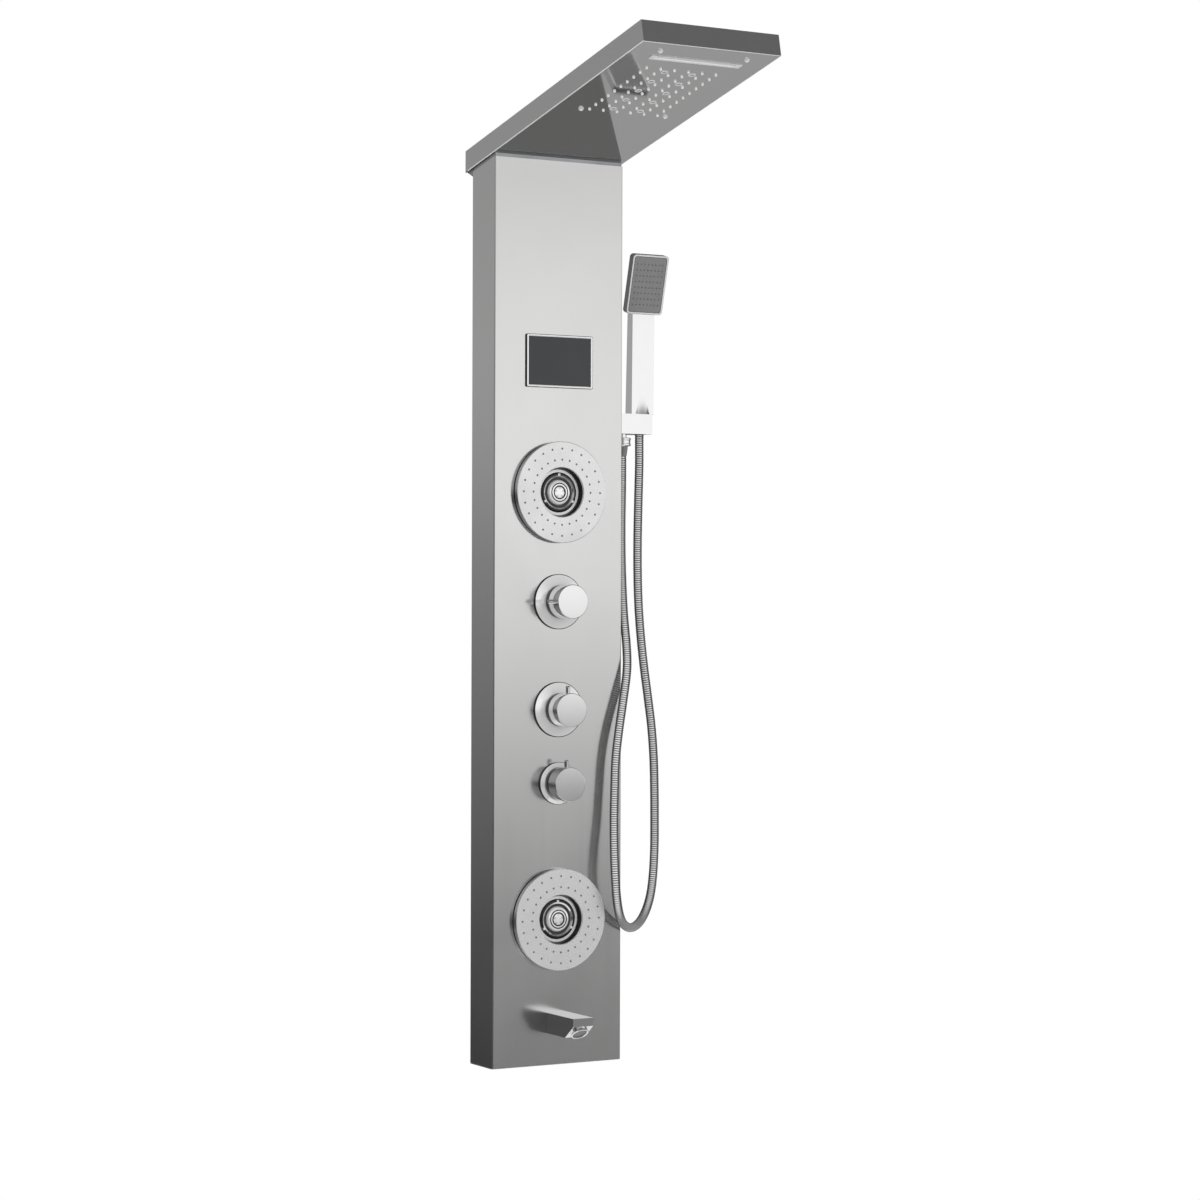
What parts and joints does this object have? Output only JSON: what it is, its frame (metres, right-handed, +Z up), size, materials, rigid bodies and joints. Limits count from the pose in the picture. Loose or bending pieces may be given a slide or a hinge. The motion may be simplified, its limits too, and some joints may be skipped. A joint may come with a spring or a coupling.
{
  "type": "shower panel column",
  "caption": "Wall-hung metal shower panel with a sloping rain and waterfall head, display, swivelling body jets, mixer knobs, bath spout and hand shower on a free hose.",
  "frame": {"origin": "on the wall plane, at the middle of the four wall screws", "axes": "+X to the viewer's right, +Y into the wall, +Z up"},
  "size_m": [0.2725, 0.4652, 1.3101],
  "materials": {
    "stainless": "polished stainless sheet",
    "jet_steel": "circular brushed",
    "zinc_steel": "zinc plated",
    "chamber_plastic": "satin",
    "white_silicone": "satin silicone",
    "chrome": "polished plating",
    "clear_lens": "clear",
    "diffuser": "translucent white",
    "display_glass": "dark smoked window",
    "dark_plastic": "moulded",
    "jet_base_plastic": "moulded",
    "grey_rubber": "satin silicone",
    "brass": "cast and turned",
    "water_hose_rubber": "braided hose",
    "hose_steel": "interlocked metal hose"
  },
  "bodies": {
    "panel": {"column_shell": "stainless", "column_bottom_cap": "stainless", "head_bracket": "zinc_steel", "head_gusset": "zinc_steel", "upper_rail": "zinc_steel", "lower_rail": "zinc_steel", "upper_wall_bracket": "zinc_steel", "lower_wall_bracket": "zinc_steel", "head_shell": "stainless", "head_plate": "stainless", "rain_chamber": "chamber_plastic", "rain_nozzles": "white_silicone", "led_bezels": "chrome", "led_lenses": "clear_lens", "waterfall_chamber": "chamber_plastic", "waterfall_lip": "chrome", "waterfall_strip": "diffuser", "head_dome_nuts": "chrome", "display_bezel": "chrome", "display_glass": "display_glass", "display_module": "dark_plastic", "upper_jet_cup": "jet_base_plastic", "upper_jet_disc": "jet_steel", "upper_jet_tips": "grey_rubber", "upper_jet_ring": "chrome", "upper_jet_nut": "dark_plastic", "lower_jet_cup": "jet_base_plastic", "lower_jet_disc": "jet_steel", "lower_jet_tips": "grey_rubber", "lower_jet_ring": "chrome", "lower_jet_nut": "dark_plastic", "diverter_escutcheon": "chrome", "hot_escutcheon": "chrome", "cold_escutcheon": "chrome", "mixer_body": "brass", "diverter_body": "brass", "water_hoses": "water_hose_rubber", "bath_spout": "chrome", "spout_aerator": "chrome", "spout_nut": "brass", "handset_holder": "chrome", "holder_nut": "brass", "hose_end_nut": "chrome", "shower_hose": "hose_steel"},
    "upper_liner": {"upper_jet_liner": "dark_plastic"},
    "upper_ball": {"upper_jet_ball": "chrome"},
    "lower_liner": {"lower_jet_liner": "dark_plastic"},
    "lower_ball": {"lower_jet_ball": "chrome"},
    "diverter": {"diverter_knob": "chrome", "diverter_lever": "chrome", "diverter_spindle": "brass"},
    "hot": {"hot_knob": "chrome", "hot_lever": "chrome", "hot_spindle": "brass"},
    "cold": {"cold_knob": "chrome", "cold_lever": "chrome", "cold_spindle": "brass"},
    "hose_nut": {"hose_cone_nut": "chrome"},
    "handset": {"handset_body": "chrome", "handset_face": "grey_rubber"}
  },
  "joints": [
    {"name": "diverter_turn", "type": "hinge", "parent": "panel", "child": "diverter", "pos_m": [0, -0.1, 0.0115], "axis": [0, -1, 0], "continuous": true},
    {"name": "hot_turn", "type": "hinge", "parent": "panel", "child": "hot", "pos_m": [0, -0.1, -0.131], "axis": [0, -1, 0], "range_deg": [0, 90]},
    {"name": "cold_turn", "type": "hinge", "parent": "panel", "child": "cold", "pos_m": [0, -0.1, -0.2285], "axis": [0, -1, 0], "range_deg": [-90, 0]},
    {"name": "upper_jet_pan", "type": "hinge", "parent": "panel", "child": "upper_liner", "pos_m": [0, -0.072, 0.156], "axis": [0, 0, 1], "range_deg": [-12, 12]},
    {"name": "upper_jet_tilt", "type": "hinge", "parent": "upper_liner", "child": "upper_ball", "pos_m": [0, -0.072, 0.156], "axis": [1, 0, 0], "range_deg": [-12, 12]},
    {"name": "lower_jet_pan", "type": "hinge", "parent": "panel", "child": "lower_liner", "pos_m": [0, -0.072, -0.408], "axis": [0, 0, 1], "range_deg": [-12, 12]},
    {"name": "lower_jet_tilt", "type": "hinge", "parent": "lower_liner", "child": "lower_ball", "pos_m": [0, -0.072, -0.408], "axis": [1, 0, 0], "range_deg": [-12, 12]},
    {"name": "handset_lift", "type": "slide", "parent": "panel", "child": "hose_nut", "axis": [0, 0, 1], "range_m": [0, 0.06]},
    {"name": "handset_swivel", "type": "hinge", "parent": "hose_nut", "child": "handset", "pos_m": [0.1415, -0.05, 0.264], "axis": [0, 0, 1], "range_deg": [-30, 30]}
  ]
}
